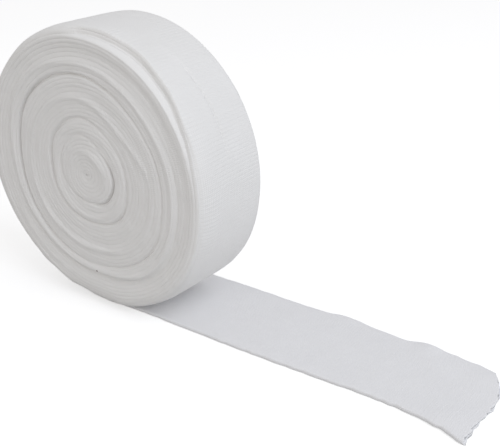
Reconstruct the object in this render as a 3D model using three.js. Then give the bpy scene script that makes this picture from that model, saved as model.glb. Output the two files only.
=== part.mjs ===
// A tubular knitted bandage, laid flat and wound into a roll that stands on its rim.
// Its loose end runs out from under the roll along +X. The roll's axis lies along Y, and +Z is up.
// The origin lies on the surface under the roll's axis, at mid-width of the roll.
// Lengths are in millimetres and angles in degrees.
import * as THREE from "three";

// Cloth
const LAY_FLAT_WIDTH = 50.8;
const CLOTH_THICKNESS = 2.0; // both plies of the flattened tube
const TOUCH_GAP = 0.3;

// Wound roll: angles run from +X through +Z, seen with the front face towards the viewer
const AXIS_HEIGHT = 73.0;
const RADIUS_AT_RIGHT = 71.4;
const TURN_PITCH = 2.0;
const TURN_END_X = 8.0; // where the outermost turn leaves the roll and becomes the loose end
const COLUMNS = 90;
const TURN_STEP_ANGLE = 0.08; // the face of the outermost turn's step leans by this much
const FACE_HALF_WIDTH = LAY_FLAT_WIDTH / 2 - 1.0;
const SHOULDER_SHARE = 0.9; // share of the radius where the faces begin to round over
const RIM_CROWN = 0.35;
const CROWN_ENDS = -0.85; // height, as a share of the radius, under which the rim is pressed flat
const RING_DRIFT = { x: 2.8, z: -0.6 }; // how far the middle rings sit off centre

// Soft swells and hollows of the roll's outline, at its front and its rear edge
const OUTLINE_SWELLS = [
  { at: -46, spread: 29, front: 1.9, rear: 3.2 },
  { at: 80, spread: 34, front: 0.9, rear: 0.7 },
  { at: 135, spread: 42, front: -1.2, rear: -1.2 },
  { at: 236, spread: 20, front: -1.4, rear: -0.5 },
];

// Main ridges and grooves of the wound faces, by share of the radius
const FACE_RINGS = [
  { share: 0.07, proud: -0.3 },
  { share: 0.17, proud: 0.7 },
  { share: 0.25, proud: -0.9 },
  { share: 0.315, proud: 0.6 },
  { share: 0.365, proud: -0.7 },
  { share: 0.45, proud: 0.1 },
  { share: 0.54, proud: 0.8 },
  { share: 0.61, proud: 0.2 },
  { share: 0.68, proud: -0.9 },
  { share: 0.755, proud: 1.0 },
  { share: 0.835, proud: -0.5 },
  { share: SHOULDER_SHARE, proud: -0.4 },
];
const CORE_PROUD = -0.8;

// How the outermost turns sit on each face: roundOver is how far the face curves back at the
// rim, and setBack is how far the outermost turn's edge lies behind it (proud when negative)
const FRONT_EDGE = [
  { at: -84, roundOver: 3.0, setBack: 0.4 },
  { at: 8, roundOver: 2.4, setBack: 0.4 },
  { at: 28, roundOver: 1.4, setBack: 4.2 },
  { at: 52, roundOver: 0.8, setBack: 6.2 },
  { at: 72, roundOver: 1.4, setBack: 3.6 },
  { at: 96, roundOver: 2.6, setBack: 0.4 },
  { at: 190, roundOver: 2.8, setBack: 0.4 },
  { at: 236, roundOver: 4.4, setBack: 0.9 },
  { at: 276, roundOver: 4.4, setBack: 2.4 },
];
const REAR_EDGE = [
  { at: -84, roundOver: 1.4, setBack: 0.4 },
  { at: 0, roundOver: 2.4, setBack: 0.4 },
  { at: 90, roundOver: 2.6, setBack: 0.4 },
  { at: 210, roundOver: 2.6, setBack: 0.4 },
  { at: 245, roundOver: 2.8, setBack: -4.0 },
  { at: 276, roundOver: 3.0, setBack: -12.6 },
];

// Section of the outermost turn's rounded edge: share of the cloth's thickness, and depth
const EDGE_NOSE = [
  { through: 0.0, depth: 0.5 },
  { through: 0.4, depth: 0.0 },
  { through: 0.8, depth: 0.4 },
  { through: 1.0, depth: 1.3 },
];

// Loose end: its two folded edges along its run
const LOOSE_END_STATIONS = [
  { x: 8.3, near: -17.2, far: 33.9 },
  { x: 30, near: -16.9, far: 34.3 },
  { x: 60, near: -17.3, far: 34.5 },
  { x: 90, near: -17.4, far: 34.0 },
  { x: 104, near: -17.3, far: 34.0 },
  { x: 113, near: -17.0, far: 36.2 },
  { x: 122, near: -16.8, far: 36.0 },
  { x: 133, near: -16.5, far: 34.2 },
  { x: 149, near: -16.0, far: 33.1 },
  { x: 158, near: -16.0, far: 34.7 },
  { x: 165, near: -16.2, far: 35.3 },
  { x: 176, near: -17.1, far: 33.8 },
  { x: 188, near: -19.2, far: 32.6 },
  { x: 200.6, near: -22.9, far: 30.0 },
];
const CUT_END_SLANT = -6.4; // the far corner lies this much short of the near one
const CUT_END_BOW = 5.5; // how far the cut end bows out between its corners
const CUT_END_BOW_SKEW = 1.6; // over 1, the bow is fullest towards the far corner
const CUT_END_REACH = 6; // power that keeps the slant and the bow near the cut end
const LOOSE_END_STEPS = 48;
const CUT_STEPS_ACROSS = 12;
const FOLD_ROUNDING = 1.0;

const radians = (degrees) => (degrees * Math.PI) / 180;

// A value between the rows of a table, eased so that it has no kink at a row.
function tableValue(rows, key, column, at) {
  if (at <= rows[0][key]) return rows[0][column];
  const next = rows.findIndex((row) => row[key] >= at);
  if (next < 0) return rows[rows.length - 1][column];
  const [low, high] = [rows[next - 1], rows[next]];
  const t = (at - low[key]) / (high[key] - low[key]);
  const eased = t * t * (3 - 2 * t);
  return low[column] + (high[column] - low[column]) * eased;
}

// Radius of the roll's outer surface: an even spiral, the soft swells, and the flat where it
// rests on the surface or, one turn earlier, on the loose end. toRear is 0 at the front edge
// of the rim and 1 at its rear edge.
function outerRadius(angle, toRear) {
  const spiral = RADIUS_AT_RIGHT + (TURN_PITCH * angle) / 360;
  const swells = OUTLINE_SWELLS.map(({ at, spread, front, rear }) => {
    const width = radians(spread) ** 2;
    const swell = front + (rear - front) * toRear;
    return swell * Math.exp((Math.cos(radians(angle - at)) - 1) / width);
  });
  const free = swells.reduce((sum, swell) => sum + swell, spiral);
  const down = -Math.sin(radians(angle));
  if (down < 0.5) return free;
  const rest = angle < 90 ? CLOTH_THICKNESS + TOUCH_GAP : 0;
  return Math.min(free, (AXIS_HEIGHT - rest) / down);
}

// One side's section from the middle of the face out to the rim, at one angle.
// Each point has its radius, its distance from mid-width, and its share of the ring drift.
function sideSection(angle, edgeRows, toRear) {
  const outer = outerRadius(angle, toRear);
  const inner = outer - CLOTH_THICKNESS;
  const even = RADIUS_AT_RIGHT - CLOTH_THICKNESS;
  const roundOver = tableValue(edgeRows, "at", "roundOver", angle);
  const setBack = tableValue(edgeRows, "at", "setBack", angle);
  const rings = FACE_RINGS.map(({ share, proud }) => ({
    radius: share * (even + (inner - even) * share ** 4),
    out: FACE_HALF_WIDTH + proud,
    drift: 4 * share * (1 - share),
  }));
  const start = rings[rings.length - 1];
  const shoulder = [0.45, 0.8, 1.0].map((t) => ({
    radius: start.radius + (inner - start.radius) * t,
    out: start.out - roundOver * (1 - Math.sqrt(1 - t * t * 0.98)),
    drift: start.drift * (1 - t),
  }));
  const ledge = shoulder[shoulder.length - 1].out - setBack;
  const nose = EDGE_NOSE.map(({ through, depth }) => ({
    radius: inner + CLOTH_THICKNESS * through,
    out: ledge - depth,
    drift: 0,
  }));
  return [...rings, ...shoulder, ...nose];
}

// The angles of the roll's columns. The outermost turn's step lies between last and first.
function columnAngles() {
  const first = THREE.MathUtils.radToDeg(Math.atan2(-AXIS_HEIGHT, TURN_END_X));
  const run = 360 - TURN_STEP_ANGLE;
  return Array.from({ length: COLUMNS }, (_, i) => first + (run * i) / (COLUMNS - 1));
}

// A column's angle on a ring: even all round near the core, and closed up to the step at the rim.
function ringAngle(angles, i, share) {
  const even = angles[0] + (360 * i) / COLUMNS;
  return even + (angles[i] - even) * share ** 4;
}

// Joins a closed loop of rows into triangles; each row is a list of vertex numbers.
function bridge(triangles, rowA, rowB) {
  rowA.forEach((a, i) => {
    const next = (i + 1) % rowA.length;
    triangles.push(a, rowA[next], rowB[next]);
    triangles.push(a, rowB[next], rowB[i]);
  });
}

function meshFrom(name, points, triangles, material) {
  const geometry = new THREE.BufferGeometry();
  geometry.setAttribute("position", new THREE.Float32BufferAttribute(points, 3));
  geometry.setIndex(triangles);
  geometry.computeVertexNormals();
  const mesh = new THREE.Mesh(geometry, material);
  mesh.name = name;
  return mesh;
}

function woundRoll(material) {
  const points = [];
  const triangles = [];
  const angles = columnAngles();
  const addPoint = (x, y, z) => points.push(x, y, z) / 3 - 1;
  const addRow = (sections, k, side) =>
    angles.map((_, i) => {
      const { radius, out, drift } = sections[i][k];
      const share = k < FACE_RINGS.length ? FACE_RINGS[k].share : 1;
      const angle = radians(ringAngle(angles, i, share));
      const x = radius * Math.cos(angle) + RING_DRIFT.x * drift;
      const z = AXIS_HEIGHT + radius * Math.sin(angle) + RING_DRIFT.z * drift;
      return addPoint(x, side * out, z);
    });
  const front = angles.map((angle) => sideSection(angle, FRONT_EDGE, 0));
  const rear = angles.map((angle) => sideSection(angle, REAR_EDGE, 1));
  const rowsOf = (sections, side) => sections[0].map((_, k) => addRow(sections, k, side));
  const frontRows = rowsOf(front, -1);
  const rearRows = rowsOf(rear, 1).reverse();
  const crownRow = angles.map((angle) => {
    const rests = Math.sin(radians(angle)) < CROWN_ENDS;
    const radius = outerRadius(angle, 0.5) + (rests ? 0 : RIM_CROWN);
    const x = radius * Math.cos(radians(angle));
    return addPoint(x, 0, AXIS_HEIGHT + radius * Math.sin(radians(angle)));
  });
  const rows = [...frontRows, crownRow, ...rearRows];
  rows.slice(1).forEach((row, i) => bridge(triangles, row, rows[i]));
  const frontCore = addPoint(0, -(FACE_HALF_WIDTH + CORE_PROUD), AXIS_HEIGHT);
  const rearCore = addPoint(0, FACE_HALF_WIDTH + CORE_PROUD, AXIS_HEIGHT);
  const first = rows[0];
  const last = rows[rows.length - 1];
  angles.forEach((_, i) => {
    const next = (i + 1) % angles.length;
    triangles.push(frontCore, first[i], first[next]);
    triangles.push(rearCore, last[next], last[i]);
  });
  return meshFrom("wound_roll", points, triangles, material);
}

// The loose end: a flattened tube with rounded folds along both sides and a bowed cut end.
function looseEnd(material) {
  const points = [];
  const triangles = [];
  const firstX = LOOSE_END_STATIONS[0].x;
  const lastX = LOOSE_END_STATIONS[LOOSE_END_STATIONS.length - 1].x;
  const across = Array.from({ length: CUT_STEPS_ACROSS + 1 }, (_, i) => i / CUT_STEPS_ACROSS);
  const rows = Array.from({ length: LOOSE_END_STEPS + 1 }, (_, i) => {
    const run = i / LOOSE_END_STEPS;
    const base = firstX + (lastX - firstX) * run;
    const near = tableValue(LOOSE_END_STATIONS, "x", "near", base);
    const far = tableValue(LOOSE_END_STATIONS, "x", "far", base);
    const place = (share, inset, z) => {
      const bow = CUT_END_BOW * Math.sin(Math.PI * share ** CUT_END_BOW_SKEW);
      const x = base + (CUT_END_SLANT * share + bow) * run ** CUT_END_REACH;
      const y = near + inset + (far - near - 2 * inset) * share;
      return points.push(x, y, z) / 3 - 1;
    };
    const under = across.map((share) => place(share, FOLD_ROUNDING, 0));
    const farFold = place(1, 0, CLOTH_THICKNESS / 2);
    const over = across.map((share) => place(1 - share, FOLD_ROUNDING, CLOTH_THICKNESS));
    const nearFold = place(0, 0, CLOTH_THICKNESS / 2);
    return [...under, farFold, ...over, nearFold];
  });
  rows.slice(1).forEach((row, i) => bridge(triangles, rows[i], row));
  capStrip(triangles, rows[0], true);
  capStrip(triangles, rows[rows.length - 1], false);
  return meshFrom("loose_end", points, triangles, material);
}

// Closes one end of the flattened tube with a strip between its under and upper edges.
function capStrip(triangles, row, facesBack) {
  const steps = CUT_STEPS_ACROSS;
  const face = (a, b, c) => triangles.push(...(facesBack ? [a, c, b] : [a, b, c]));
  const over = (i) => row[2 * steps + 2 - i];
  for (let i = 0; i < steps; i += 1) {
    face(row[i], row[i + 1], over(i + 1));
    face(row[i], over(i + 1), over(i));
  }
  face(row[steps], row[steps + 1], over(steps));
  face(row[0], over(0), row[2 * steps + 3]);
}

const knittedCotton = new THREE.MeshStandardMaterial({ color: 0xeeeeec, roughness: 0.95, metalness: 0 });

const bandage = new THREE.Group();
bandage.add(woundRoll(knittedCotton), looseEnd(knittedCotton.clone()));

export default bandage;
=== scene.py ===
"""A knitted tubular bandage: a flattened tube wound into a roll, with its loose end laid flat.

Lengths are in millimetres until a mesh is made, where they become metres. The winding's
angles are in degrees, measured from +X through +Z, and they grow along the cloth from the
core outwards, so a whole turn adds 360.
"""

from __future__ import annotations

import logging
from dataclasses import dataclass
from enum import Enum

import bpy
import numpy as np
from mathutils import Matrix, Vector

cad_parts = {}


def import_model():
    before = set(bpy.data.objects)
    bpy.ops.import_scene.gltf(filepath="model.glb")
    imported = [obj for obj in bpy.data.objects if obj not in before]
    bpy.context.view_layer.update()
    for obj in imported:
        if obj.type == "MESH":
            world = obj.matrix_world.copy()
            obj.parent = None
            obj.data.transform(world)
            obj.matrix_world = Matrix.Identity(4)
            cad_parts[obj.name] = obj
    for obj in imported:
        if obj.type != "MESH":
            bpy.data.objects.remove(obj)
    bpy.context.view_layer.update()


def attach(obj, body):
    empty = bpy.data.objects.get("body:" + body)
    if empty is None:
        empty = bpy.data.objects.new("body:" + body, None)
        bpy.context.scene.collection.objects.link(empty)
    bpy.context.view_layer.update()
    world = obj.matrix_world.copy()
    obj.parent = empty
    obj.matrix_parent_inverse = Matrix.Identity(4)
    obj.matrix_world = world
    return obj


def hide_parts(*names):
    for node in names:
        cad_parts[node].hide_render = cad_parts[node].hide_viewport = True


LOG = logging.getLogger("bandage")
MM = 0.001
UV_PER_MM = 0.1
BODY = "root"

Array = np.ndarray
Colour = tuple[float, float, float]
Material = bpy.types.Material
Node = bpy.types.Node
Piece = bpy.types.Object
Socket = bpy.types.NodeSocket
Tree = bpy.types.NodeTree


class Face(Enum):
    """The two wound faces of the roll, by the sign of their direction along Y."""

    FRONT = -1
    REAR = 1


# Whole-array helpers


def smooth(share: Array) -> Array:
    """Ease a share from 0 to 1 in and out, as t^2 * (3 - 2t)."""
    return share**2 * (3.0 - 2.0 * share)


def eased(rows: tuple, key: str, column: str, at: Array) -> Array:
    """Read a table between its rows with an ease in and out of each row.

    Between two rows the value is low + (high - low) * t^2 * (3 - 2t), where t is the share
    of the way from one row's key to the next. Outside the table the end rows hold.

    Args:
        rows: Dataclass rows in rising order of the key.
        key: Name of the field that is looked up.
        column: Name of the field that is read.
        at: Where to read the table.

    Returns:
        The values, in the shape of at.
    """
    keys = np.array([getattr(row, key) for row in rows], float)
    values = np.array([getattr(row, column) for row in rows], float)
    low = np.clip(np.searchsorted(keys, at, side="right") - 1, 0, len(keys) - 2)
    share = np.clip((at - keys[low]) / (keys[low + 1] - keys[low]), 0.0, 1.0)
    return values[low] + (values[low + 1] - values[low]) * smooth(share)


def around(values: tuple[float, ...], angle: Array) -> Array:
    """Read values spaced evenly round a circle, eased between neighbours by a cosine.

    Args:
        values: One value for each direction, from +X through +Z.
        angle: Angles in degrees.

    Returns:
        low + (high - low) * (1 - cos(pi * share)) / 2 between the two nearest directions.
    """
    ring = np.asarray(values, float)
    place = (angle % 360.0) / 360.0 * len(ring)
    low = np.floor(place).astype(int) % len(ring)
    share = (1.0 - np.cos(np.pi * (place - np.floor(place)))) / 2.0
    return ring[low] + (ring[(low + 1) % len(ring)] - ring[low]) * share


@dataclass(frozen=True)
class LatticeNoise:
    """Smooth noise between -1 and 1, from random values on a repeating lattice."""

    seed: int
    columns: int = 256
    rows: int = 256

    def at(self, x: Array, y: Array | float = 0.0) -> Array:
        """Value at a point: its cell's four corners, blended by t^2 * (3 - 2t) each way.

        Args:
            x: First coordinate, in cells.
            y: Second coordinate, in cells.

        Returns:
            The blended values.
        """
        lattice = np.random.default_rng(self.seed).uniform(-1.0, 1.0, (self.rows, self.columns))
        x, y = np.broadcast_arrays(np.asarray(x, float), np.asarray(y, float))
        column, row = np.floor(x).astype(int), np.floor(y).astype(int)
        across, up = smooth(x - column), smooth(y - row)
        left, right = column % self.columns, (column + 1) % self.columns
        below, above = row % self.rows, (row + 1) % self.rows
        low = lattice[below, left] * (1.0 - across) + lattice[below, right] * across
        high = lattice[above, left] * (1.0 - across) + lattice[above, right] * across
        return low * (1.0 - up) + high * up


@dataclass(frozen=True)
class Unevenness:
    """Noise of a height over the cloth, in cells of a length along it and across it."""

    seed: int
    height: float
    cell_along: float
    cell_across: float = 1.0

    def at(self, along: Array, across: Array | float, shift: int = 0) -> Array:
        """Height at a place on the cloth. Another shift of the seed gives other noise."""
        noise = LatticeNoise(self.seed + shift)
        return self.height * noise.at(along / self.cell_along, across / self.cell_across)


@dataclass(frozen=True)
class FaceNoise:
    """Noise of a height over a wound face, in a whole number of cells round it."""

    seed: int
    height: float
    cells_per_mm: float
    cells_round: int

    def at(self, face: Face, radius: Array, angle: Array) -> Array:
        """Height at a distance from the roll's axis and an angle in degrees."""
        noise = LatticeNoise(self.seed + face.value, rows=self.cells_round)
        return self.height * noise.at(radius * self.cells_per_mm, angle / 360.0 * self.cells_round)


# The cloth and the form that it is wound into


@dataclass(frozen=True)
class KnitCloth:
    """The flattened tube: its two plies together, and its knit.

    rib_fullness is the power that rounds a rib, rib_mean is taken off so that the ribs stand
    about the surface, and rib_share is their mean height in shares of rib_height.
    """

    thickness: float = 2.0
    lay_flat_width: float = 50.8
    fold_nose: float = 0.8
    rib_pitch: float = 2.0
    rib_height: float = 0.2
    rib_fullness: float = 0.8
    rib_mean: float = 0.68
    rib_share: float = 0.65
    rib_variation: Unevenness = Unevenness(13, 0.5, 12.0, 7.0)
    rib_bows: tuple[Unevenness, ...] = (
        Unevenness(11, 0.7, 34.0, 21.0),
        Unevenness(12, 0.22, 7.0, 5.0),
    )
    soft_layers: tuple[Unevenness, ...] = (
        Unevenness(21, 0.17, 19.0, 12.0),
        Unevenness(22, 0.07, 6.0, 5.0),
    )

    def rib_relief(self, along: Array, across: Array) -> Array:
        """Height of the fine cross ribs: a rounded rib and a narrow valley at each pitch.

        The height is rib_height * (|sin(pi * s)|^rib_fullness - rib_mean), where s is the
        distance along the cloth in pitches. Slow noise bows the ribs and varies their height.

        Args:
            along: Distance along the cloth from the roll's step.
            across: Distance across the cloth.

        Returns:
            The heights.
        """
        bow = sum(layer.at(along, across) for layer in self.rib_bows)
        wave = np.abs(np.sin(np.pi * (along + bow) / self.rib_pitch))
        rib = wave**self.rib_fullness - self.rib_mean
        return self.rib_height * rib * (self.rib_share + self.rib_variation.at(along, across))

    def soft_relief(self, along: Array, across: Array) -> Array:
        """Slow unevenness of the knit: the sum of its soft layers of noise."""
        return sum(layer.at(along, across) for layer in self.soft_layers)


@dataclass(frozen=True)
class Swell:
    """A soft swell of the roll's outline, at the front and the rear edge of its rim."""

    at: float
    spread: float
    front: float
    rear: float


@dataclass(frozen=True)
class EdgeRow:
    """How a face rounds over to the rim at one angle of the outermost turn.

    drop is how far the rim's corner lies behind the face, and reach is how far in from the
    rim the rounding begins. set_back is how much further back the outermost turn ends, or,
    below zero, how much further out.
    """

    at: float
    drop: float
    reach: float
    set_back: float = 0.0


@dataclass(frozen=True)
class FaceRing:
    """A ridge or groove of the front face.

    radius and proud are given for the directions +X, +X+Z, +Z, -X+Z, -X, -X-Z, -Z and +X-Z.
    inner and outer are its widths towards the core and towards the rim.
    """

    radius: tuple[float, ...]
    proud: tuple[float, ...]
    inner: float
    outer: float


FRONT_RINGS = (
    FaceRing(
        radius=(68.0, 67.0, 66.4, 66.0, 66.0, 66.0, 66.0, 68.5),
        proud=(0.2, -0.5, 0.1, 0.3, 0.0, 0.0, 0.0, 0.1),
        inner=2.4, outer=2.6,
    ),
    FaceRing(
        radius=(62.0, 61.4, 60.8, 60.5, 60.0, 60.0, 60.0, 62.0),
        proud=(-0.5, -1.1, -0.9, -0.3, -0.2, 0.0, 0.1, -0.2),
        inner=4.5, outer=2.6,
    ),
    FaceRing(
        radius=(54.8, 53.8, 54.8, 55.6, 51.0, 51.2, 51.4, 57.0),
        proud=(0.8, 0.8, 0.9, 0.7, 0.6, 0.7, 0.7, 0.8),
        inner=1.5, outer=1.5,
    ),
    FaceRing(
        radius=(57.6, 57.0, 58.0, 58.4, 54.0, 54.4, 54.0, 59.6),
        proud=(-0.4, 0.0, 0.0, -0.2, -0.3, -1.0, -1.2, -1.0),
        inner=0.9, outer=3.0,
    ),
    FaceRing(
        radius=(48.5, 47.0, 49.4, 49.4, 47.0, 48.3, 48.6, 50.5),
        proud=(-0.6, -0.7, -1.7, -2.7, -2.9, -1.5, -0.5, -1.2),
        inner=0.8, outer=0.7,
    ),
    FaceRing(
        radius=(42.0, 35.0, 38.3, 38.3, 38.0, 39.4, 39.2, 43.0),
        proud=(0.4, 0.7, 0.8, 0.4, 0.3, 0.8, 0.8, 0.4),
        inner=1.6, outer=1.6,
    ),
    FaceRing(
        radius=(26.7, 26.5, 28.4, 26.2, 23.7, 24.8, 25.3, 27.8),
        proud=(-1.0, -0.3, -1.0, -1.8, -2.0, -0.9, -0.8, -1.6),
        inner=0.8, outer=0.8,
    ),
    FaceRing(
        radius=(22.5, 22.5, 24.0, 22.5, 20.5, 22.0, 22.5, 23.5),
        proud=(0.3, 0.2, 0.2, 0.3, 0.4, 0.6, 0.5, 0.3),
        inner=1.6, outer=1.6,
    ),
    FaceRing(
        radius=(18.0, 17.0, 20.0, 18.5, 17.0, 15.0, 14.5, 17.2),
        proud=(-3.2, -0.5, -0.5, -0.6, -0.4, -0.5, -0.5, -2.4),
        inner=0.7, outer=0.8,
    ),
    FaceRing(
        radius=(13.0, 12.0, 11.5, 11.0, 11.0, 11.0, 11.0, 12.5),
        proud=(0.7, 1.0, 0.5, 0.2, 0.1, 0.1, 0.4, 0.4),
        inner=2.4, outer=2.4,
    ),
    FaceRing(radius=(0.0,) * 8, proud=(-0.6,) * 8, inner=3.0, outer=3.0),
)


@dataclass(frozen=True)
class RollForm:
    """The wound form: a spiral that sags a little, pressed flat where it rests.

    rear_share is the share of the front face's relief that the rear face takes, turned
    inside out. outermost_inset is how far the outermost turn stays inside the faces.
    step_from, step_width and step_lag place the step beside a set-back outermost turn: the
    depths where it begins and how wide it is, and how far it stays in front of that turn.
    """

    cloth: KnitCloth = KnitCloth()
    axis_height: float = 73.0
    radius_at_right: float = 71.4
    turn_pitch: float = 2.0
    touch_gap: float = 0.3
    facing_down: float = 0.5
    step_x: float = 8.0
    core_radius: float = 1.0
    face_half_width: float = 24.4
    rear_share: float = 0.7
    outermost_inset: float = 0.2
    step_from: float = 5.1
    step_width: float = 1.7
    step_lag: float = 0.3
    drift: tuple[float, float] = (2.8, -0.6)
    ridges: tuple[FaceNoise, ...] = (FaceNoise(50, 0.17, 0.4, 13), FaceNoise(60, 0.0765, 0.85, 34))
    rib_ends: FaceNoise = FaceNoise(80, 0.12, 0.2, 150)
    rib_ends_full_at: float = 30.0
    swells: tuple[Swell, ...] = (
        Swell(-46.0, 29.0, 1.9, 3.2),
        Swell(80.0, 34.0, 0.9, 0.7),
        Swell(135.0, 42.0, -1.2, -1.2),
        Swell(236.0, 20.0, -1.4, -0.5),
    )
    front_edge: tuple[EdgeRow, ...] = (
        EdgeRow(-84.0, 4.23, 7.0, -0.63),
        EdgeRow(-68.0, 3.6, 7.0),
        EdgeRow(-30.0, 2.6, 6.0),
        EdgeRow(5.0, 2.0, 5.5),
        EdgeRow(28.0, 1.8, 6.0, 0.8),
        EdgeRow(45.0, 1.8, 6.2, 2.6),
        EdgeRow(62.0, 1.8, 6.6, 4.0),
        EdgeRow(76.0, 2.0, 6.6, 2.5),
        EdgeRow(98.0, 2.6, 6.0),
        EdgeRow(190.0, 3.0, 6.5),
        EdgeRow(236.0, 4.4, 7.0),
        EdgeRow(248.0, 4.8, 7.4, 0.6),
        EdgeRow(262.0, 8.8, 9.6, -2.6),
        EdgeRow(276.0, 7.0, 9.0, -0.2),
    )
    rear_edge: tuple[EdgeRow, ...] = (
        EdgeRow(-84.0, 2.4, 7.0),
        EdgeRow(0.0, 2.8, 7.0),
        EdgeRow(90.0, 3.0, 7.0),
        EdgeRow(210.0, 3.0, 7.0),
        EdgeRow(245.0, 2.8, 7.0, -4.0),
        EdgeRow(276.0, 3.97, 9.0, -13.67),
    )

    @property
    def last_angle(self) -> float:
        """Angle at which the outermost turn leaves the roll as the loose end."""
        return float(np.degrees(np.arctan2(-self.axis_height, self.step_x))) + 360.0

    def edge_rows(self, face: Face) -> tuple[EdgeRow, ...]:
        """Rows of a face's edge."""
        return self.front_edge if face is Face.FRONT else self.rear_edge

    def edge(self, face: Face, angle: Array) -> tuple[Array, ...]:
        """Drop, reach and set_back of a face's edge at some angles."""
        rows = self.edge_rows(face)
        return tuple(eased(rows, "at", column, angle) for column in ("drop", "reach", "set_back"))

    def spiral(self, angle: Array) -> Array:
        """Radius of the even spiral at an angle."""
        return self.radius_at_right + self.turn_pitch * angle / 360.0

    def outer_radius(self, angle: Array, to_rear: Array | float) -> Array:
        """Outer surface of the turn at an angle, as a distance from the roll's axis.

        An even spiral, plus each swell as swell * exp((cos(angle - at) - 1) / spread^2),
        which fades inwards with the square of the radius. Under the axis the turn lies no
        lower than the layers between it and the surface that carries the roll.

        Args:
            angle: Winding angles.
            to_rear: 0 at the front edge of the rim, 1 at its rear edge.

        Returns:
            Radii in millimetres.
        """
        radius = spiral = self.spiral(angle)
        share = np.clip(spiral / self.radius_at_right, 0.0, 1.0)
        for swell in self.swells:
            height = swell.front + (swell.rear - swell.front) * to_rear
            spread = np.radians(swell.spread) ** 2
            bell = np.exp((np.cos(np.radians(angle - swell.at)) - 1.0) / spread)
            radius = radius + height * bell * share**2
        layers = np.maximum(np.round((270.0 - angle) / 360.0), 0.0)
        under = layers * self.cloth.thickness + np.where(layers > 0.0, self.touch_gap, 0.0)
        down = -np.sin(np.radians(angle))
        limit = (self.axis_height - under) / np.maximum(down, self.facing_down)
        return np.where(down > self.facing_down, np.minimum(radius, limit), radius)

    def centre(self, angle: Array) -> Array:
        """Middle of the turn at an angle, which drifts as drift * 4 * share * (1 - share).

        Args:
            angle: Winding angles.

        Returns:
            Points (x, z) in millimetres.
        """
        share = np.clip(self.spiral(angle) / (self.radius_at_right - self.cloth.thickness), 0.0, 1.0)
        weight = 4.0 * share * (1.0 - share)
        return np.stack([self.drift[0] * weight, self.axis_height + self.drift[1] * weight], -1)

    def outline(self, angle: Array, to_rear: Array | float) -> Array:
        """Outer surface of the turn: its centre plus its radius in its direction.

        Args:
            angle: Winding angles.
            to_rear: 0 at the front edge of the rim, 1 at its rear edge.

        Returns:
            Points (x, z) in millimetres.
        """
        turned = np.radians(angle)
        radius = self.outer_radius(angle, to_rear)[..., None]
        return self.centre(angle) + radius * np.stack([np.cos(turned), np.sin(turned)], -1)

    def relief(self, face: Face, radius: Array, angle: Array) -> Array:
        """Ridges and grooves of a face, about the roll's axis.

        Each ring is proud * exp(-(offset / width)^2), with its inner or its outer width. The
        tube keeps its width, so the rear face sinks where the front one stands proud. Noise
        adds finer ridges and, in full from rib_ends_full_at outwards, the faint radial
        streaks of the ribs' ends.

        Args:
            face: Which face.
            radius: Distance from the roll's axis.
            angle: Angle in degrees.

        Returns:
            Heights outwards from the face.
        """
        height = np.zeros(np.broadcast(radius, angle).shape)
        for ring in FRONT_RINGS:
            offset = radius - around(ring.radius, angle)
            width = np.where(offset < 0.0, ring.inner, ring.outer)
            height = height + around(ring.proud, angle) * np.exp(-((offset / width) ** 2))
        if face is Face.REAR:
            height = -self.rear_share * height
        for ridge in self.ridges:
            height = height + ridge.at(face, radius, angle)
        fade = np.clip(radius / self.rib_ends_full_at, 0.0, 1.0)
        return height + self.rib_ends.at(face, radius, angle) * fade

    def face_edge(self, face: Face, radius: Array, angle: Array) -> Array:
        """How far the cloth reaches from mid-width towards a face, before the outermost turn.

        The half width plus the relief, less drop * (1 - depth / reach)^2, where depth is the
        distance in from the rim. Beside a set-back outermost turn the face steps back too.

        Args:
            face: Which face.
            radius: Distance from the roll's axis.
            angle: Angle in degrees.

        Returns:
            Distances in millimetres.
        """
        start = self.edge_rows(face)[0].at
        rim_angle = (angle - start) % 360.0 + start
        depth = self.outer_radius(rim_angle, 0.5) - radius
        drop, reach, set_back = self.edge(face, rim_angle)
        inward = np.clip(1.0 - depth / reach, 0.0, 1.0)
        rounding = drop * inward**2
        step = smooth(np.clip((self.step_from - depth) / self.step_width, 0.0, 1.0))
        step = step * np.clip(set_back, 0.0, 1.0)
        rounding = rounding + step * np.maximum(drop + set_back - self.step_lag - rounding, 0.0)
        return self.face_half_width + self.relief(face, radius, angle) - rounding

    def outermost_edge(self, face: Face, angle: Array, depth: Array) -> Array:
        """How far the outermost turn reaches from mid-width towards a face.

        Where it isn't set back, its edge follows the rounding of the face, as
        drop * (1 - depth / reach)^2.

        Args:
            face: Which face.
            angle: Winding angles.
            depth: Distance in from the rim.

        Returns:
            Distances in millimetres.
        """
        drop, reach, set_back = self.edge(face, angle)
        inward = 1.0 - depth / reach
        follows = np.clip(1.0 - np.abs(set_back), 0.0, 1.0)
        back = set_back + drop * (1.0 - follows * (1.0 - inward**2))
        return self.face_half_width - self.outermost_inset - back


# Meshes


def linked(name: str, data: bpy.types.ID) -> Piece:
    """Make an object of its data and link it to the scene.

    Args:
        name: Name of the object.
        data: Its mesh, camera or light.

    Returns:
        The object.
    """
    piece = bpy.data.objects.new(name, data)
    bpy.context.scene.collection.objects.link(piece)
    return piece


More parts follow.
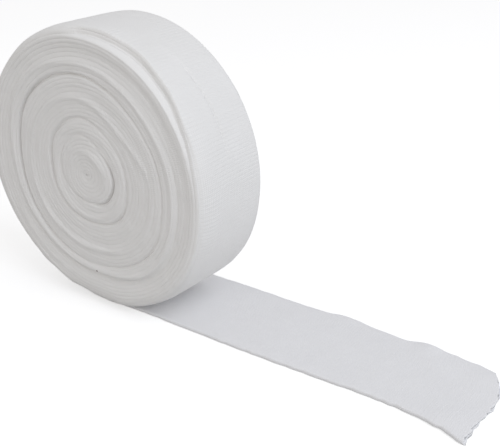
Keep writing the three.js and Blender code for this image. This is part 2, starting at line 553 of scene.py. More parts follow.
def fold_loop(
    outer: int, inner: int, nose: int, power: float = 1.0, turned: float = 90.0
) -> tuple[Array, Array, Array]:
    """Section of a flattened tube as a closed loop, from the outer surface round to it again.

    The outer surface runs from the front fold to the rear one, then the rear fold, the inner
    surface back, and the front fold. A fold's reach is cos(beta)^power, where beta goes from
    -90 degrees at the outer surface to turned degrees at the inner one: a half ellipse at
    power 1, a parabola at power 2, and a quarter ellipse when turned is 0.

    Args:
        outer: Points on the outer surface.
        inner: Points on the inner surface.
        nose: Points strictly between the two surfaces on each fold.
        power: Power of the fold's reach.
        turned: Angle at the inner surface, in degrees.

    Returns:
        The share of the way across, the signed share of the fold's reach (negative at the
        front), and the share of the way through the thickness, for each point.
    """
    beta = np.linspace(-np.pi / 2.0, np.radians(turned), nose + 2)[1:-1]
    share = (1.0 + np.sin(beta)) / (1.0 + np.sin(np.radians(turned)))
    fold = np.cos(beta) ** power
    there, back = np.linspace(0, 1, outer), np.linspace(1, 0, inner)
    across = np.concatenate([there, np.ones(nose), back, np.zeros(nose)])
    reach = np.concatenate([np.zeros(outer), fold, np.zeros(inner), -fold[::-1]])
    through = np.concatenate([np.zeros(outer), share, np.ones(inner), share[::-1]])
    return across, reach, through


def path_length(points: Array) -> Array:
    """Distance along a path of points, from 0 at its first point."""
    return np.concatenate([[0.0], np.cumsum(np.linalg.norm(np.diff(points, axis=0), axis=1))])


def swept_mesh(name: str, points: Array, cloth_uv: Array) -> Piece:
    """Make one closed mesh from rings of points, each ring a closed loop, capped at both ends.

    Each four neighbours (i, j), (i, j+1), (i+1, j+1), (i+1, j) make a face, with j running
    round the loop. The caps are the first loop reversed and the last loop.

    Args:
        name: Name of the object.
        points: Array (rings, loop, 3) in millimetres.
        cloth_uv: Array (rings, loop, 2), the place on the flat cloth in millimetres.

    Returns:
        The object, linked to the scene, with a UV map called cloth.
    """
    rings, loop, _ = points.shape
    index = np.arange(rings * loop).reshape(rings, loop)
    beside = np.roll(index, -1, axis=1)
    quads = np.stack([index[:-1], beside[:-1], beside[1:], index[1:]], -1).reshape(-1, 4)
    caps = [index[0][::-1], index[-1]]
    mesh = bpy.data.meshes.new(name)
    faces = quads.tolist() + [cap.tolist() for cap in caps]
    mesh.from_pydata((points.reshape(-1, 3) * MM).tolist(), [], faces)
    shaded = np.ones(len(faces), bool)
    shaded[-2:] = False
    mesh.polygons.foreach_set("use_smooth", shaded)
    corners = np.concatenate([quads.ravel(), *caps])
    uv = cloth_uv.reshape(-1, 2)[corners] * UV_PER_MM
    layer = mesh.uv_layers.new(name="cloth")
    layer.data.foreach_set("uv", uv.ravel().astype(np.float32))
    mesh.validate()
    return linked(name, mesh)


@dataclass
class WoundTurns:
    """All turns but the outermost, as one band wound from the core.

    fold_gain makes the folds' noses larger or smaller by direction, as the front rings'
    values are given, and comes in over gain_over from the radius gain_from outwards.
    """

    form: RollForm
    name: str = "wound_turns"
    chord: float = 1.7
    widest_step: float = 20.0
    angle_samples: int = 40000
    packing: float = 0.995
    thinnest: float = 0.8
    thickest_share: float = 1.1
    core_band: float = 0.5
    core_hole: float = 0.2
    surface_points: int = 3
    nose_points: int = 7
    nose: float = 0.11
    fold_gain: tuple[float, ...] = (1.2, 0.5, 2.4, 2.8, 1.6, 0.8, 0.9, 1.7)
    gain_from: float = 40.0
    gain_over: float = 20.0
    tip_lean: Unevenness = Unevenness(71, 0.1, 8.0)
    edge_step: Unevenness = Unevenness(40, 0.07, 1.0 / 1.7)
    edge_wave: Unevenness = Unevenness(50, 0.05, 5.5)
    edge_ripple: Unevenness = Unevenness(60, 0.03, 2.3)

    def angles(self) -> Array:
        """Winding angles from the core outwards.

        Returns:
            Angles in degrees, a chord apart but never more than the widest step apart.
        """
        form = self.form
        first = (form.core_radius - form.radius_at_right) / form.turn_pitch * 360.0
        fine = np.linspace(first, form.last_angle - 360.0, self.angle_samples)
        step = np.minimum(np.degrees(self.chord / form.spiral(fine)), self.widest_step)
        count = np.concatenate([[0.0], np.cumsum(np.diff(fine) / step[1:])])
        stations = int(np.ceil(count[-1])) + 1
        return np.interp(np.linspace(0.0, count[-1], stations), count, fine)

    def thickness(self, angle: Array, outer: Array, direction: Array) -> Array:
        """Thickness of the cloth: the packing share of the room above the turn below.

        Within core_band of the innermost turn nothing lies below, so the room there is the
        radius less a small hole.

        Args:
            angle: Winding angles.
            outer: Points (x, z) of the outer surface.
            direction: Directions (x, z) outwards.

        Returns:
            Thicknesses in millimetres.
        """
        form = self.form
        room = ((outer - form.outline(angle - 360.0, 0.5)) * direction).sum(-1)
        radius = form.outer_radius(angle, 0.5)
        at_core = radius < form.turn_pitch + self.core_band
        room = np.minimum(np.where(at_core, radius - self.core_hole, room), room.max())
        return self.packing * np.clip(room, self.thinnest, form.turn_pitch * self.thickest_share)

    def band(self) -> tuple[Array, Array]:
        """Rings of the wound band.

        Each ring is the fold loop set at one winding angle, with its outer surface on the
        form's outline. Its folds reach to the faces, unevenly from turn to turn and along
        the cloth.

        Returns:
            Points (rings, loop, 3) and their places on the flat cloth.
        """
        form = self.form
        angle = self.angles()
        turned = np.radians(angle)
        direction = np.stack([np.cos(turned), np.sin(turned)], -1)
        outer = form.outline(angle, 0.5)
        along = path_length(outer)
        across, reach, through = fold_loop(
            self.surface_points, self.surface_points, self.nose_points, power=2.0
        )
        lean = self.tip_lean.at(along, 0.5)[:, None] * np.abs(reach)
        depth = self.thickness(angle, outer, direction)[:, None] * through + lean
        ring = outer[:, None, :] - direction[:, None, :] * depth[..., None]
        from_axis = ring - np.array([0.0, form.axis_height])
        true_radius = np.linalg.norm(from_axis, axis=-1)
        true_angle = np.degrees(np.arctan2(from_axis[..., 1], from_axis[..., 0]))
        edges = {}
        for face in Face:
            uneven = self.edge_step.at(angle / 360.0, 0.3, face.value)
            uneven = uneven + self.edge_wave.at(along, 0.3, face.value)
            uneven = uneven + self.edge_ripple.at(along, 0.7, face.value)
            edges[face] = form.face_edge(face, true_radius, true_angle) + uneven[:, None] - self.nose
        front, rear = -edges[Face.FRONT], edges[Face.REAR]
        gain_share = np.clip((true_radius - self.gain_from) / self.gain_over, 0.0, 1.0)
        gain = 1.0 + (around(self.fold_gain, true_angle) - 1.0) * gain_share
        y = front + (rear - front) * across + self.nose * gain * reach
        points = np.stack([ring[..., 0], y, ring[..., 1]], -1)
        flat = np.stack([np.broadcast_to(along[:, None], y.shape), y], -1)
        return points, flat

    def build(self) -> Piece:
        """Make the wound turns' mesh."""
        return swept_mesh(self.name, *self.band())

    def length(self) -> float:
        """Length of cloth in these turns."""
        return float(path_length(self.form.outline(self.angles(), 0.5))[-1])


@dataclass(frozen=True)
class Crease:
    """A faint crease along the rim, between two angles, a distance from mid-width."""

    start: float
    end: float
    across: float
    depth: float
    width: float


@dataclass
class OutermostTurn:
    """The turn that shows as the roll's rim, with its ribs and creases.

    Its folds are quarter ellipses where it lies on the turn below, and become whole folds
    over freed_over from the angle freed_from, where it leaves the roll. sunk closes the
    groove under its edges. gather brings the points of its outer surface closer together
    towards mid-width, where the creases are.
    """

    form: RollForm
    name: str = "outermost_turn"
    station_step: float = 0.4
    outer_points: int = 48
    inner_points: int = 4
    nose_points: int = 9
    gather: float = 0.6
    sunk: float = 0.25
    freed_from: float = 215.0
    freed_over: float = 50.0
    resting_fade: float = 0.12
    shoulder_from: float = 14.0
    shoulder_width: float = 7.0
    shoulder_limit: float = 1.3
    shoulder_drop: tuple[float, float] = (0.85, 0.3)
    crease_sway: float = 0.8
    crease_waves: float = 4.0
    creases: tuple[Crease, ...] = (
        Crease(14.0, 52.0, -1.9, 0.95, 0.5),
        Crease(44.0, 64.0, -0.8, -0.3, 1.8),
    )
    length_samples: int = 721

    def crease_relief(self, angle: Array, y: Array) -> Array:
        """Creases as -depth * exp(-((y - middle) / width)^2), faded in and out by angle.

        Args:
            angle: Winding angles.
            y: Distances from mid-width.

        Returns:
            The heights.
        """
        relief = np.zeros(np.broadcast(angle, y).shape)
        sway = self.crease_sway * np.sin(np.radians(angle * self.crease_waves))
        for crease in self.creases:
            share = np.clip((angle - crease.start) / (crease.end - crease.start), 0.0, 1.0)
            fade = np.sin(np.pi * share) ** 0.5
            offset = (y - (crease.across + sway)) / crease.width
            relief = relief - crease.depth * fade * np.exp(-(offset**2))
        return relief

    def section(self, angle: Array) -> tuple[Array, Array, Array]:
        """Fold loop at each angle, between a quarter ellipse and a whole fold.

        Args:
            angle: Winding angles, as (rings, 1).

        Returns:
            The shares across the cloth, of the folds' reach and through the thickness.
        """
        counts = (self.outer_points, self.inner_points, self.nose_points)
        across, full_reach, full_through = fold_loop(*counts)
        _, half_reach, half_through = fold_loop(*counts, turned=0.0)
        freed = self.freed(angle)
        across = across + self.gather * np.sin(2.0 * np.pi * across) / (2.0 * np.pi)
        reach = half_reach + (full_reach - half_reach) * freed
        return across, reach, half_through + (full_through - half_through) * freed

    def freed(self, angle: Array) -> Array:
        """Share by which the cloth has left the turn below."""
        return np.clip((angle - self.freed_from) / self.freed_over, 0.0, 1.0)

    def surface(self, angle: Array, along: Array, y: Array) -> Array:
        """Height of the ribs, unevenness and creases, less the shoulders.

        Each shoulder drops by its shoulder_drop * t^2 towards its face. All of it fades out
        where the cloth is pressed on the surface that carries the roll.

        Args:
            angle: Winding angles, as (rings, 1).
            along: Distances along the cloth, as (rings, 1).
            y: Distances from mid-width.

        Returns:
            The heights.
        """
        cloth = self.form.cloth
        resting = np.clip((np.sin(np.radians(angle)) + 1.0) / self.resting_fade, 0.0, 1.0)
        past = np.maximum(np.abs(y) - self.shoulder_from, 0.0) / self.shoulder_width
        drop = np.where(y < 0.0, *self.shoulder_drop) * np.minimum(past, self.shoulder_limit) ** 2
        relief = cloth.rib_relief(along, y) + cloth.soft_relief(along, y)
        return (relief + self.crease_relief(angle, y) - drop) * resting

    def band(self) -> tuple[Array, Array]:
        """Rings of the outermost turn.

        The outer surface is the form's outline, blended from its front to its rear shape by
        the share of the way across, with the surface's height along the outward normal.

        Returns:
            Points (rings, loop, 3) and their places on the flat cloth.
        """
        form, cloth = self.form, self.form.cloth
        stations = int(round(np.pi * 2.0 * form.radius_at_right / self.station_step))
        angle = np.linspace(form.last_angle - 360.0, form.last_angle, stations)
        middle = form.outline(angle, 0.5)
        along = path_length(middle)
        along = along - along[-1]
        tangent = np.gradient(middle, along, axis=0)
        tangent = tangent / np.linalg.norm(tangent, axis=1)[:, None]
        normal = np.stack([tangent[:, 1], -tangent[:, 0]], -1)

        row = angle[:, None]
        across, reach, through = self.section(row)
        depth = cloth.thickness * through
        front = cloth.fold_nose - form.outermost_edge(Face.FRONT, row, depth)
        rear = form.outermost_edge(Face.REAR, row, depth) - cloth.fold_nose
        y = front + (rear - front) * across + cloth.fold_nose * reach
        to_rear = np.clip(y / (2.0 * form.face_half_width) + 0.5, 0.0, 1.0)
        front_line = form.outline(angle, 0.0)[:, None, :]
        rear_line = form.outline(angle, 1.0)[:, None, :]
        outer = front_line + (rear_line - front_line) * to_rear[..., None]

        below = cloth.thickness + self.sunk * (1.0 - self.freed(row))
        offset = self.surface(row, along[:, None], y) * (1.0 - through) - below * through
        ring = outer + normal[:, None, :] * offset[..., None]
        points = np.stack([ring[..., 0], y, ring[..., 1]], -1)
        flat = np.stack([np.broadcast_to(along[:, None], y.shape), y], -1)
        return points, flat

    def build(self) -> Piece:
        """Make the outermost turn's mesh."""
        return swept_mesh(self.name, *self.band())

    def length(self) -> float:
        """Length of cloth in this turn."""
        angle = np.linspace(self.form.last_angle - 360.0, self.form.last_angle, self.length_samples)
        return float(path_length(self.form.outline(angle, 0.5))[-1])


@dataclass(frozen=True)
class Station:
    """The folded edges of the loose end at one place along it."""

    x: float
    near: float
    far: float


@dataclass(frozen=True)
class Hump:
    """A place where the loose end lifts off the surface."""

    x: float
    y: float
    reach_x: float
    reach_y: float
    height: float


@dataclass
class LooseEnd:
    """The last stretch of the tube, laid flat, with a cut end that shows both plies.

    cut_reach and ragged_reach are the powers of the run with which the cut end's shape and
    its loops come in. smoothness is the share of the ribs' height that it keeps. bow_mean is
    the mean of the cut end's bow across the cloth.
    """

    cloth: KnitCloth
    name: str = "loose_end_cloth"
    start_x: float = 7.75
    station_step: float = 0.4
    outer_points: int = 16
    inner_points: int = 36
    nose_points: int = 9
    smoothness: float = 0.25
    wave_onset: float = 8.0
    near_wave: Unevenness = Unevenness(33, 0.22, 3.1, 41.0)
    far_wave: Unevenness = Unevenness(34, 0.22, 3.4, 37.0)
    cut_slant: float = -6.4
    cut_bow: float = 5.5
    cut_bow_skew: float = 1.6
    cut_reach: float = 6.0
    bow_mean: float = 0.6
    cut_loops: tuple[Unevenness, ...] = (Unevenness(31, 0.75, 1.3, 1.0 / 3.0), Unevenness(32, 0.45, 4.1))
    ragged_reach: float = 70.0
    mouth_depths: tuple[float, ...] = (0.0, 0.5, 1.6, 4.0, 8.0, 14.0)
    mouth_gap: float = 0.34
    mouth_closing: float = 0.5
    mouth_width: float = 0.975
    mouth_fold: float = 0.3
    stations: tuple[Station, ...] = (
        Station(8.0, -17.4, 33.9),
        Station(30.0, -16.9, 34.3),
        Station(60.0, -17.3, 34.5),
        Station(90.0, -17.4, 34.0),
        Station(104.0, -17.3, 34.0),
        Station(113.0, -17.0, 35.3),
        Station(122.0, -16.8, 35.2),
        Station(133.0, -16.5, 34.2),
        Station(149.0, -16.0, 33.1),
        Station(158.0, -16.0, 34.7),
        Station(165.0, -16.2, 34.6),
        Station(176.0, -17.1, 33.8),
        Station(188.0, -19.2, 32.6),
        Station(200.6, -22.9, 30.0),
    )
    humps: tuple[Hump, ...] = (
        Hump(116.0, 35.0, 8.0, 6.0, 0.7),
        Hump(161.0, 34.0, 6.0, 7.0, 1.0),
        Hump(170.0, 22.0, 10.0, 5.0, 0.5),
        Hump(194.0, 24.0, 9.0, 12.0, 0.8),
        Hump(190.0, -12.0, 14.0, 9.0, 0.6),
    )

    @property
    def last_x(self) -> float:
        """Place along X of the last station, before the cut end's slant and bow."""
        return self.stations[-1].x

    def lift(self, x: Array, y: Array) -> Array:
        """Height of the humps: each as height * exp(-(dx / reach)^2 - (dy / reach)^2).

        Args:
            x: Places along X.
            y: Places along Y.

        Returns:
            The heights.
        """
        height = np.zeros(np.broadcast(x, y).shape)
        for hump in self.humps:
            squares = ((x - hump.x) / hump.reach_x) ** 2 + ((y - hump.y) / hump.reach_y) ** 2
            height = height + hump.height * np.exp(-squares)
        return height

    def ring(self, base: Array, across: Array, reach: Array, through: Array) -> tuple[Array, Array]:
        """Points of the loose end for some base stations and loop shares.

        A point lies at its station, moved by the cut end's slant and bow, which come in with
        a high power of the run, and by the ragged cut in the last millimetres. Its height is
        the share through the thickness, plus the ribs on top, plus the humps.

        Args:
            base: Station along X, as (rings, 1).
            across: Share across the cloth for each point of the loop.
            reach: Signed share of the fold's reach.
            through: Share of the thickness above the underside.

        Returns:
            Points (rings, loop, 3) and their places on the flat cloth.
        """
        cloth, along = self.cloth, base - self.start_x
        run = np.clip(along / (self.last_x - self.start_x), 0.0, 1.0)
        onset = np.clip(run * self.wave_onset, 0.0, 1.0)
        near = eased(self.stations, "x", "near", base) + cloth.fold_nose
        far = eased(self.stations, "x", "far", base) - cloth.fold_nose
        near = near + onset * self.near_wave.at(base, base)
        far = far + onset * self.far_wave.at(base, base)
        y = near + (far - near) * across + cloth.fold_nose * reach
        bow = self.cut_bow * np.sin(np.pi * np.clip(across, 0.0, 1.0) ** self.cut_bow_skew)
        loops = sum(layer.at(y, through) for layer in self.cut_loops)
        x = base + (self.cut_slant * across + bow) * run**self.cut_reach
        x = x + loops * run**self.ragged_reach
        relief = self.smoothness * cloth.rib_relief(along, y) + cloth.soft_relief(along, y)
        z = cloth.thickness * through + relief * through**2 + self.lift(x, y)
        points = np.stack(np.broadcast_arrays(x, y, z), -1)
        flat = np.stack(np.broadcast_arrays(along, y), -1)
        return points, flat

    def build(self) -> Piece:
        """Make the loose end: rings out to the cut, then rings back into the mouth.

        Returns:
            The piece.
        """
        count = int(round((self.last_x - self.start_x) / self.station_step)) + 1
        base = np.linspace(self.start_x, self.last_x, count)[:, None]
        across, reach, through = fold_loop(self.outer_points, self.inner_points, self.nose_points)
        outside = self.ring(base, across, reach, through)
        depths = np.array(self.mouth_depths)[:, None]
        gap = self.mouth_gap * (1.0 - self.mouth_closing * depths / depths.max())
        inside = self.ring(
            self.last_x - depths,
            0.5 + (across - 0.5) * self.mouth_width,
            reach * self.mouth_fold,
            0.5 + (through - 0.5) * gap,
        )
        points, flat = (np.concatenate(pair) for pair in zip(outside, inside))
        return swept_mesh(self.name, points, flat)

    def length(self) -> float:
        """Mean length of cloth from the roll's step to the cut."""
        return self.last_x - self.start_x + self.cut_slant / 2.0 + self.cut_bow * self.bow_mean


# Finishes


def feed(tree: Tree, node: Node, values: dict[str | int, object]) -> Node:
    """Give a node's inputs their values, or link sockets to them.

    Args:
        tree: The node's tree.
        node: The node.
        values: A value or a socket for each input, by its name or number.

    Returns:
        The node.
    """
    for name, value in values.items():
        if isinstance(value, Socket):
            tree.links.new(value, node.inputs[name])
        else:
            node.inputs[name].default_value = value
    return node


def new_group(name: str, inputs: dict[str, float | None], *outputs: str) -> tuple:
    """Make a shader group with its sockets.

    Args:
        name: Name of the group.
        inputs: Starting value of each number, or None for a vector, by name.
        outputs: Names of the numbers that it gives.

    Returns:
        The group, the sockets of its inputs and its output node.
    """
    group = bpy.data.node_groups.new(name, "ShaderNodeTree")
    for label, value in inputs.items():
        kind = "NodeSocketVector" if value is None else "NodeSocketFloat"
        socket = group.interface.new_socket(name=label, in_out="INPUT", socket_type=kind)
        if value is not None:
            socket.default_value = value
    for label in outputs:
        group.interface.new_socket(name=label, in_out="OUTPUT", socket_type="NodeSocketFloat")
    return group, group.nodes.new("NodeGroupInput").outputs, group.nodes.new("NodeGroupOutput")


def math_node(tree: Tree, operation: str, *inputs: float | Socket) -> Socket:
    """Add a Math node and feed it numbers or sockets.

    Args:
        tree: Where the node goes.
        operation: The Math node's operation.
        inputs: One value or socket for each of its inputs.

    Returns:
        The node's output.
    """
    node = tree.nodes.new("ShaderNodeMath")
    node.operation = operation
    return feed(tree, node, dict(enumerate(inputs))).outputs[0]


def noise_node(tree: Tree, vector: Socket, scale: float, detail: float) -> Socket:
    """Add a Noise Texture on a vector.

    Args:
        tree: Where the node goes.
        vector: Where the noise is read.
        scale: Cells in each unit of the vector.
        detail: Number of finer layers.

    Returns:
        The noise's value.
    """
    node = tree.nodes.new("ShaderNodeTexNoise")
    values = {"Vector": vector, "Scale": scale, "Detail": detail}
    return feed(tree, node, values).outputs["Fac"]


def stitch_group() -> Tree:
    """Shader group for the knit's stitches.

    A column of stitches lies at each wale pitch across the cloth. In it the height is
    sin(2 pi s) * column, where s is the distance along in courses plus a V of the distance
    from the column's middle, and column is sin(pi * share) across it.

    Returns:
        The group, with inputs Cloth, Course and Wale, and the output Height.
    """
    inputs = {"Cloth": None, "Course": 0.1, "Wale": 0.1}
    group, entry, result = new_group("knit_stitches", inputs, "Height")
    split = feed(group, group.nodes.new("ShaderNodeSeparateXYZ"), {0: entry["Cloth"]})
    courses = math_node(group, "DIVIDE", split.outputs["X"], entry["Course"])
    wales = math_node(group, "DIVIDE", split.outputs["Y"], entry["Wale"])
    share = math_node(group, "FRACT", wales)
    from_middle = math_node(group, "ABSOLUTE", math_node(group, "SUBTRACT", share, 0.5))
    slanted = math_node(group, "ADD", courses, from_middle)
    wave = math_node(group, "SINE", math_node(group, "MULTIPLY", slanted, 2.0 * np.pi))
    lifted = math_node(group, "MULTIPLY_ADD", wave, 0.5, 0.5)
    column = math_node(group, "SINE", math_node(group, "MULTIPLY", share, np.pi))
    height = math_node(group, "MULTIPLY", lifted, column)
    feed(group, result, {"Height": height})
    return group


def mottle_group(slow_scale: float = 55.0, fine_scale: float = 1400.0) -> Tree:
    """Shader group for the yarn's unevenness: noise at two scales, as a tone and a fuzz.

    Args:
        slow_scale: Cells in a metre for the tone.
        fine_scale: Cells in a metre for the fuzz.

    Returns:
        The group, with the input Place and the outputs Tone and Fuzz, both about 0 to 1.
    """
    group, entry, result = new_group("yarn_mottle", {"Place": None}, "Tone", "Fuzz")
    slow = noise_node(group, entry["Place"], slow_scale, 3.0)
    fine = noise_node(group, entry["Place"], fine_scale, 4.0)
    feed(group, result, {"Tone": slow, "Fuzz": fine})
    return group


def speck_group(
    ragged_scale: float = 1500.0, clear_at: float = 1.15, solid_at: float = 0.7
) -> Tree:
    """Shader group for a small stain: 1 inside a radius of a point, with a ragged soft edge.

    Args:
        ragged_scale: Cells in a metre for the ragged edge.
        clear_at: Share of the radius from which the stain is gone.
        solid_at: Share of the radius up to which it is solid.

    Returns:
        The group, with inputs Place, Middle and Radius, and the output Mask.
    """
    inputs = {"Place": None, "Middle": None, "Radius": 0.001}
    group, entry, result = new_group("speck", inputs, "Mask")
    apart = group.nodes.new("ShaderNodeVectorMath")
    apart.operation = "DISTANCE"
    feed(group, apart, {0: entry["Place"], 1: entry["Middle"]})
    share = math_node(group, "DIVIDE", apart.outputs["Value"], entry["Radius"])
    noise = noise_node(group, entry["Place"], ragged_scale, 2.0)
    ragged = math_node(group, "ADD", share, math_node(group, "SUBTRACT", noise, 0.5))
    fade = group.nodes.new("ShaderNodeMapRange")
    feed(group, fade, {"From Min": clear_at, "From Max": solid_at, "Value": ragged})
    feed(group, result, {"Mask": fade.outputs["Result"]})
    return group


def group_node(tree: Tree, group: Tree, **values: object) -> Node:
    """Place a shader group in a material.

    Args:
        tree: The material's nodes.
        group: The shader group.
        values: A value or a socket for each of the group's inputs, by name.

    Returns:
        The group's node.
    """
    node = tree.nodes.new("ShaderNodeGroup")
    node.node_tree = group
    return feed(tree, node, values)


def blend_node(tree: Tree, share: Socket, low: Colour | Socket, high: Colour) -> Socket:
    """Blend from one colour to another.

    Args:
        tree: The material's nodes.
        share: Share of the second colour.
        low: First colour.
        high: Second colour.

    Returns:
        The blended colour.
    """
    blend = tree.nodes.new("ShaderNodeMix")
    blend.data_type = "RGBA"
    first = low if isinstance(low, Socket) else (*low, 1.0)
    return feed(tree, blend, {"Factor": share, "A": first, "B": (*high, 1.0)}).outputs["Result"]


@dataclass(frozen=True)
class KnitGroups:
    """The shader groups that the knit's materials share."""

    stitches: Tree
    mottle: Tree
    speck: Tree


@dataclass(frozen=True)
class KnitFinish:
    """The look of the white ribbed knit."""

    # light and shade bound the colour: the yarn's random tone moves between them, and so does painted
    # shade in the stitches' hollows.
    light: Colour = (0.866, 0.857, 0.845)
    shade: Colour = (0.829, 0.819, 0.804)
    stain: Colour = (0.12, 0.06, 0.04)
    stain_place: tuple[float, float, float] = (1.9, -25.0, 20.9)
    stain_radius: float = 0.6
    roughness: float = 0.92
    specular: float = 0.25
    sheen: float = 0.25
    sheen_roughness: float = 0.6
    course: float = 1.0
    wale: float = 1.15
    # Share of the stitches' height that moves the colour from shade to light: painted shade in their
    # hollows.
    stitch_shade: float = 0.45
    stitch_depth: float = 0.09
    fuzz_depth: float = 0.06
    bump_strength: float = 0.8

    def material(self, name: str, groups: KnitGroups, stained: bool = False) -> Material:
        """Build the knit's material.

        Args:
            name: Name of the material.
            groups: The shader groups.
            stained: Whether the small stain shows on it.

        Returns:
            The material.
        """
        material = bpy.data.materials.new(name)
        material.use_nodes = True
        tree = material.node_tree
        surface = feed(tree, tree.nodes["Principled BSDF"], {
            "Roughness": self.roughness,
            "Specular IOR Level": self.specular,
            "Sheen Weight": self.sheen,
            "Sheen Roughness": self.sheen_roughness,
        })

        where = tree.nodes.new("ShaderNodeTexCoord").outputs["Object"]
        cloth = tree.nodes.new("ShaderNodeUVMap")
        cloth.uv_map = "cloth"
        mottle = group_node(tree, groups.mottle, Place=where)
        stitches = group_node(
            tree, groups.stitches, Cloth=cloth.outputs["UV"],
            Course=self.course * UV_PER_MM, Wale=self.wale * UV_PER_MM,
        ).outputs["Height"]

        # On top of the yarn's random tone, the stitches' height darkens the colour in their hollows:
        # painted shade between the stitches.
        tone = math_node(tree, "MULTIPLY_ADD", stitches, self.stitch_shade, mottle.outputs["Tone"])
        tint_with_stitch_shade = blend_node(tree, math_node(tree, "MINIMUM", tone, 1.0), self.shade, self.light)
        if stained:
            middle = tuple(value * MM for value in self.stain_place)
            radius = self.stain_radius * MM
            speck = group_node(tree, groups.speck, Place=where, Middle=middle, Radius=radius)
            tint_with_stitch_shade = blend_node(tree, speck.outputs["Mask"], tint_with_stitch_shade, self.stain)

        stitch_height = math_node(tree, "MULTIPLY", stitches, self.stitch_depth)
        fuzz = mottle.outputs["Fuzz"]
        height = math_node(tree, "MULTIPLY_ADD", fuzz, self.fuzz_depth, stitch_height)
        bump = tree.nodes.new("ShaderNodeBump")
        feed(tree, bump, {"Strength": self.bump_strength, "Distance": MM, "Height": height})
        feed(tree, surface, {"Base Color": tint_with_stitch_shade, "Normal": bump.outputs["Normal"]})
        return material


# The whole thing


@dataclass
class Bandage:
    """The roll and its loose end, dressed and tied to the frame."""

    form: RollForm = RollForm()
    finish: KnitFinish = KnitFinish()
    # The same cloth as finish, made a little cooler and bluer: painted cool light where the loose end
    # lies flat.
    laid_cool_light_finish: KnitFinish = KnitFinish(light=(0.857, 0.855, 0.868), shade=(0.82, 0.818, 0.83))

    def dress(self, piece: Piece, material: Material, node: str) -> None:
        """Give a piece its material, tie it to its body and hide the frame's part that it stands for.

        Args:
            piece: The piece.
            material: Its material.
            node: The frame's node that it stands for, whose part is hidden.
        """
        piece.data.materials.append(material)
        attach(piece, BODY)
        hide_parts(node)

    def build(self) -> list[Piece]:
        """Make every piece.

        Returns:
            The wound turns, the outermost turn and the loose end.
        """
        groups = KnitGroups(stitches=stitch_group(), mottle=mottle_group(), speck=speck_group())
        edges = self.finish.material("knit_edges", groups, stained=True)
        knit = self.finish.material("knit", groups)
        # The loose end's material carries painted cool light, not a different cloth.
        laid = self.laid_cool_light_finish.material("knit_laid_cool_light", groups)

        inner = WoundTurns(self.form)
        turns = inner.build()
        self.dress(turns, edges, "wound_roll")
        inner.length() * MM

        rim = OutermostTurn(self.form)
        outermost = rim.build()
        self.dress(outermost, knit, "wound_roll")
        rim.length() * MM

        tail = LooseEnd(self.form.cloth)
        loose = tail.build()
        self.dress(loose, laid, "loose_end")
        tail.length() * MM
        return [turns, outermost, loose]


# Stage


@dataclass(frozen=True)
class PhotoCamera:
    """The photograph's viewpoint, in metres, degrees and shares of the frame's width."""

    place: tuple[float, float, float] = (0.29205, -0.29065, 0.22126)
    turn: float = 35.19
    height: float = 24.442
    roll: float = -0.488
    lens: float = 61.15
    sensor_width: float = 36.0
    shift_x: float = -0.0223
    nearest: float = 0.01

    def build(self) -> Piece:
        """Make the camera: it looks back along its turn and height, rolled about its axis.

        Returns:
            The camera, which is the scene's camera.
        """
        data = bpy.data.cameras.new("photo_camera")
        data.lens = self.lens
        data.sensor_width = self.sensor_width
        data.shift_x = self.shift_x
        data.clip_start = self.nearest
        camera = linked("photo_camera", data)
        turn, height, roll = np.radians([self.turn, self.height, self.roll])
        aim = Matrix.Rotation(turn, 4, "Z") @ Matrix.Rotation(np.pi / 2.0 - height, 4, "X")
        camera.matrix_world = Matrix.Translation(self.place) @ aim @ Matrix.Rotation(roll, 4, "Z")
        bpy.context.scene.camera = camera
        return camera


@dataclass(frozen=True)
class SoftLight:
    """A square lamp that faces a point."""

    name: str
    place: tuple[float, float, float]
    size: float
    power: float
    colour: Colour
    aim: tuple[float, float, float] = (0.02, 0.0, 0.06)

    def build(self) -> Piece:
        """Make the lamp.

        Returns:
            The lamp.
        """
        data = bpy.data.lights.new(self.name, "AREA")
        data.shape = "SQUARE"
        data.size = self.size
        data.energy = self.power
        data.color = self.colour
        lamp = linked(self.name, data)
        facing = (Vector(self.aim) - Vector(self.place)).to_track_quat("-Z", "Y")
        lamp.matrix_world = Matrix.Translation(self.place) @ facing.to_matrix().to_4x4()
        return lamp


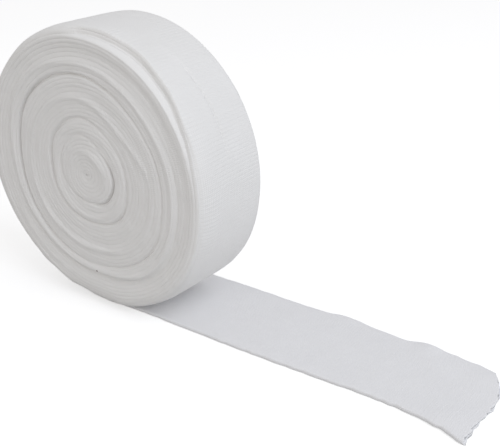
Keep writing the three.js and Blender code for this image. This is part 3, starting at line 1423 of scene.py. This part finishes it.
@dataclass(frozen=True)
class Studio:
    """A pale floor, with a cool lamp at the upper right, a warm one in front and a white sky."""

    floor_half: float = 4.0
    floor_colour: Colour = (0.62, 0.62, 0.62)
    floor_glow: float = 0.58
    sky: Colour = (1.0, 0.99, 1.0)
    sky_strength: float = 0.55
    lights: tuple[SoftLight, ...] = (
        SoftLight("key", (0.98, -0.16, 0.91), 1.0, 7.1, (0.88, 0.93, 1.0)),
        SoftLight("fill", (0.0, -1.4, 0.4), 1.2, 1.9, (1.0, 0.91, 0.75)),
    )

    def floor(self) -> Piece:
        """Make the floor: a plain pale sheet that looks a little brighter to the camera.

        Returns:
            The floor.
        """
        half = self.floor_half
        corners = [(-half, -half, 0.0), (half, -half, 0.0), (half, half, 0.0), (-half, half, 0.0)]
        mesh = bpy.data.meshes.new("floor")
        mesh.from_pydata(corners, [], [(0, 1, 2, 3)])
        floor = linked("floor", mesh)
        material = bpy.data.materials.new("floor")
        material.use_nodes = True
        tree = material.node_tree
        seen = tree.nodes.new("ShaderNodeLightPath").outputs["Is Camera Ray"]
        feed(tree, tree.nodes["Principled BSDF"], {
            "Base Color": (*self.floor_colour, 1.0),
            "Roughness": 1.0,
            "Specular IOR Level": 0.0,
            "Emission Color": (1.0, 1.0, 1.0, 1.0),
            "Emission Strength": math_node(tree, "MULTIPLY", seen, self.floor_glow),
        })
        mesh.materials.append(material)
        return floor

    def build(self) -> None:
        """Make the floor, the lamps and the surrounding light."""
        self.floor()
        for light in self.lights:
            light.build()
        world = bpy.data.worlds.new("studio")
        world.use_nodes = True
        sky = {"Color": (*self.sky, 1.0), "Strength": self.sky_strength}
        feed(world.node_tree, world.node_tree.nodes["Background"], sky)
        bpy.context.scene.world = world
        bpy.context.scene.view_settings.view_transform = "Standard"


def main() -> None:
    """Load the frame, then make the camera, the bandage and the stage."""
    logging.basicConfig(level=logging.INFO, format="%(name)s: %(message)s")
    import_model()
    PhotoCamera().build()
    for piece in Bandage().build():
        triangles = sum(len(face.vertices) - 2 for face in piece.data.polygons)
        LOG.info("%s: %d triangles", piece.name, triangles)
    Studio().build()


if __name__ == "__main__":
    main()
